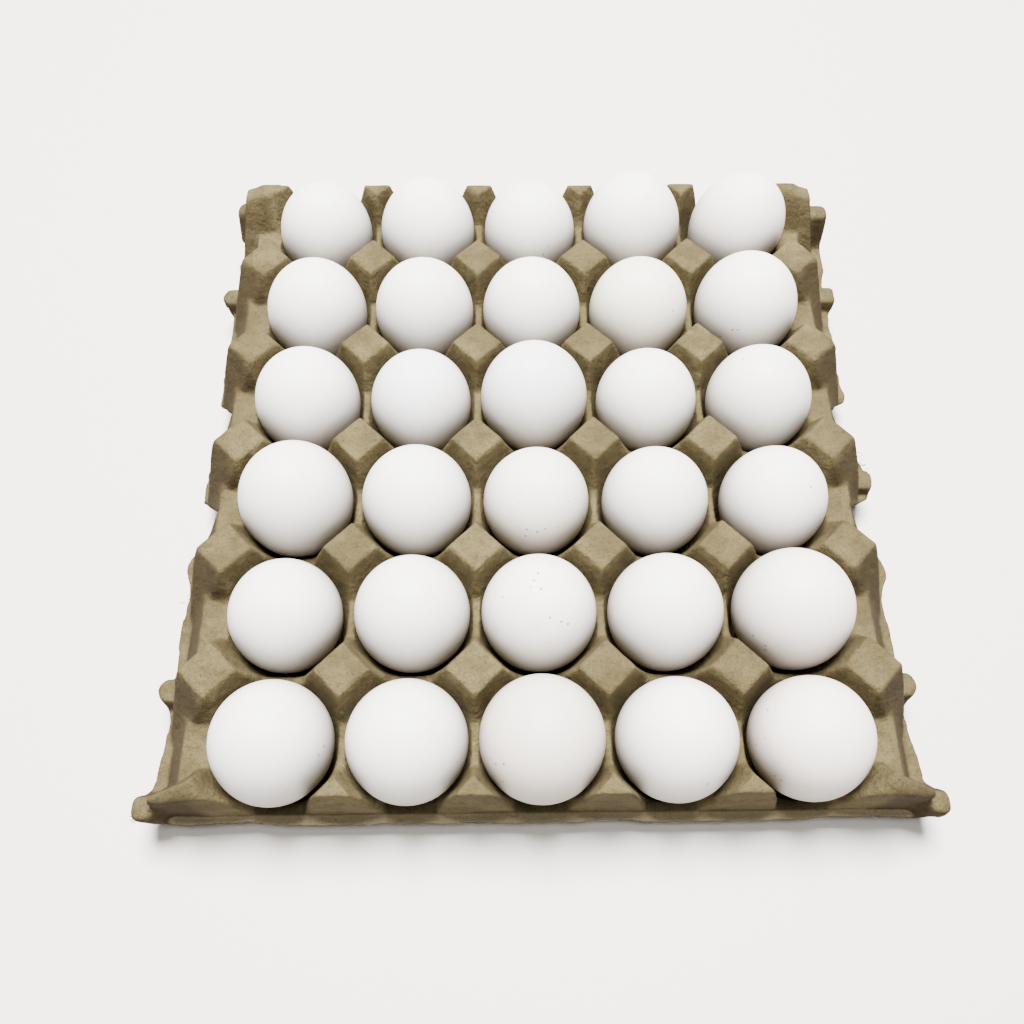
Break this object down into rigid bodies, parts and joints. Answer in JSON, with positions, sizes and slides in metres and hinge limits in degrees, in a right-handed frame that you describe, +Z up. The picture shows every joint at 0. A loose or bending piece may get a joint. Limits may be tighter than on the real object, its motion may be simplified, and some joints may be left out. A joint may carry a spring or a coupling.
{
  "type": "egg tray",
  "caption": "Open moulded-pulp egg tray with square-tapered cups between diamond-topped posts, holding loose white eggs that lift out.",
  "frame": {"origin": "middle of the tray's outline, on the surface that the tray stands on", "axes": "+Z up, +X across the five columns, +Y towards the back row"},
  "size_m": [0.296, 0.291, 0.0675],
  "materials": {
    "pulp": "rough matte recycled pulp",
    "eggshell": "matte white eggshell"
  },
  "bodies": {
    "tray": {"tray": "pulp"},
    "egg_r1_c1": {"egg_r1_c1": "eggshell"},
    "egg_r1_c2": {"egg_r1_c2": "eggshell"},
    "egg_r1_c3": {"egg_r1_c3": "eggshell"},
    "egg_r1_c4": {"egg_r1_c4": "eggshell"},
    "egg_r1_c5": {"egg_r1_c5": "eggshell"},
    "egg_r2_c1": {"egg_r2_c1": "eggshell"},
    "egg_r2_c2": {"egg_r2_c2": "eggshell"},
    "egg_r2_c3": {"egg_r2_c3": "eggshell"},
    "egg_r2_c4": {"egg_r2_c4": "eggshell"},
    "egg_r2_c5": {"egg_r2_c5": "eggshell"},
    "egg_r3_c1": {"egg_r3_c1": "eggshell"},
    "egg_r3_c2": {"egg_r3_c2": "eggshell"},
    "egg_r3_c3": {"egg_r3_c3": "eggshell"},
    "egg_r3_c4": {"egg_r3_c4": "eggshell"},
    "egg_r3_c5": {"egg_r3_c5": "eggshell"},
    "egg_r4_c1": {"egg_r4_c1": "eggshell"},
    "egg_r4_c2": {"egg_r4_c2": "eggshell"},
    "egg_r4_c3": {"egg_r4_c3": "eggshell"},
    "egg_r4_c4": {"egg_r4_c4": "eggshell"},
    "egg_r4_c5": {"egg_r4_c5": "eggshell"},
    "egg_r5_c1": {"egg_r5_c1": "eggshell"},
    "egg_r5_c2": {"egg_r5_c2": "eggshell"},
    "egg_r5_c3": {"egg_r5_c3": "eggshell"},
    "egg_r5_c4": {"egg_r5_c4": "eggshell"},
    "egg_r5_c5": {"egg_r5_c5": "eggshell"},
    "egg_r6_c1": {"egg_r6_c1": "eggshell"},
    "egg_r6_c2": {"egg_r6_c2": "eggshell"},
    "egg_r6_c3": {"egg_r6_c3": "eggshell"},
    "egg_r6_c4": {"egg_r6_c4": "eggshell"},
    "egg_r6_c5": {"egg_r6_c5": "eggshell"}
  },
  "joints": [
    {"name": "lift_r1_c1", "type": "slide", "parent": "tray", "child": "egg_r1_c1", "axis": [0, 0, 1], "range_m": [0, 0.07]},
    {"name": "lift_r1_c2", "type": "slide", "parent": "tray", "child": "egg_r1_c2", "axis": [0, 0, 1], "range_m": [0, 0.07]},
    {"name": "lift_r1_c3", "type": "slide", "parent": "tray", "child": "egg_r1_c3", "axis": [0, 0, 1], "range_m": [0, 0.07]},
    {"name": "lift_r1_c4", "type": "slide", "parent": "tray", "child": "egg_r1_c4", "axis": [0, 0, 1], "range_m": [0, 0.07]},
    {"name": "lift_r1_c5", "type": "slide", "parent": "tray", "child": "egg_r1_c5", "axis": [0, 0, 1], "range_m": [0, 0.07]},
    {"name": "lift_r2_c1", "type": "slide", "parent": "tray", "child": "egg_r2_c1", "axis": [0, 0, 1], "range_m": [0, 0.07]},
    {"name": "lift_r2_c2", "type": "slide", "parent": "tray", "child": "egg_r2_c2", "axis": [0, 0, 1], "range_m": [0, 0.07]},
    {"name": "lift_r2_c3", "type": "slide", "parent": "tray", "child": "egg_r2_c3", "axis": [0, 0, 1], "range_m": [0, 0.07]},
    {"name": "lift_r2_c4", "type": "slide", "parent": "tray", "child": "egg_r2_c4", "axis": [0, 0, 1], "range_m": [0, 0.07]},
    {"name": "lift_r2_c5", "type": "slide", "parent": "tray", "child": "egg_r2_c5", "axis": [0, 0, 1], "range_m": [0, 0.07]},
    {"name": "lift_r3_c1", "type": "slide", "parent": "tray", "child": "egg_r3_c1", "axis": [0, 0, 1], "range_m": [0, 0.07]},
    {"name": "lift_r3_c2", "type": "slide", "parent": "tray", "child": "egg_r3_c2", "axis": [0, 0, 1], "range_m": [0, 0.07]},
    {"name": "lift_r3_c3", "type": "slide", "parent": "tray", "child": "egg_r3_c3", "axis": [0, 0, 1], "range_m": [0, 0.07]},
    {"name": "lift_r3_c4", "type": "slide", "parent": "tray", "child": "egg_r3_c4", "axis": [0, 0, 1], "range_m": [0, 0.07]},
    {"name": "lift_r3_c5", "type": "slide", "parent": "tray", "child": "egg_r3_c5", "axis": [0, 0, 1], "range_m": [0, 0.07]},
    {"name": "lift_r4_c1", "type": "slide", "parent": "tray", "child": "egg_r4_c1", "axis": [0, 0, 1], "range_m": [0, 0.07]},
    {"name": "lift_r4_c2", "type": "slide", "parent": "tray", "child": "egg_r4_c2", "axis": [0, 0, 1], "range_m": [0, 0.07]},
    {"name": "lift_r4_c3", "type": "slide", "parent": "tray", "child": "egg_r4_c3", "axis": [0, 0, 1], "range_m": [0, 0.07]},
    {"name": "lift_r4_c4", "type": "slide", "parent": "tray", "child": "egg_r4_c4", "axis": [0, 0, 1], "range_m": [0, 0.07]},
    {"name": "lift_r4_c5", "type": "slide", "parent": "tray", "child": "egg_r4_c5", "axis": [0, 0, 1], "range_m": [0, 0.07]},
    {"name": "lift_r5_c1", "type": "slide", "parent": "tray", "child": "egg_r5_c1", "axis": [0, 0, 1], "range_m": [0, 0.07]},
    {"name": "lift_r5_c2", "type": "slide", "parent": "tray", "child": "egg_r5_c2", "axis": [0, 0, 1], "range_m": [0, 0.07]},
    {"name": "lift_r5_c3", "type": "slide", "parent": "tray", "child": "egg_r5_c3", "axis": [0, 0, 1], "range_m": [0, 0.07]},
    {"name": "lift_r5_c4", "type": "slide", "parent": "tray", "child": "egg_r5_c4", "axis": [0, 0, 1], "range_m": [0, 0.07]},
    {"name": "lift_r5_c5", "type": "slide", "parent": "tray", "child": "egg_r5_c5", "axis": [0, 0, 1], "range_m": [0, 0.07]},
    {"name": "lift_r6_c1", "type": "slide", "parent": "tray", "child": "egg_r6_c1", "axis": [0, 0, 1], "range_m": [0, 0.07]},
    {"name": "lift_r6_c2", "type": "slide", "parent": "tray", "child": "egg_r6_c2", "axis": [0, 0, 1], "range_m": [0, 0.07]},
    {"name": "lift_r6_c3", "type": "slide", "parent": "tray", "child": "egg_r6_c3", "axis": [0, 0, 1], "range_m": [0, 0.07]},
    {"name": "lift_r6_c4", "type": "slide", "parent": "tray", "child": "egg_r6_c4", "axis": [0, 0, 1], "range_m": [0, 0.07]},
    {"name": "lift_r6_c5", "type": "slide", "parent": "tray", "child": "egg_r6_c5", "axis": [0, 0, 1], "range_m": [0, 0.07]}
  ]
}
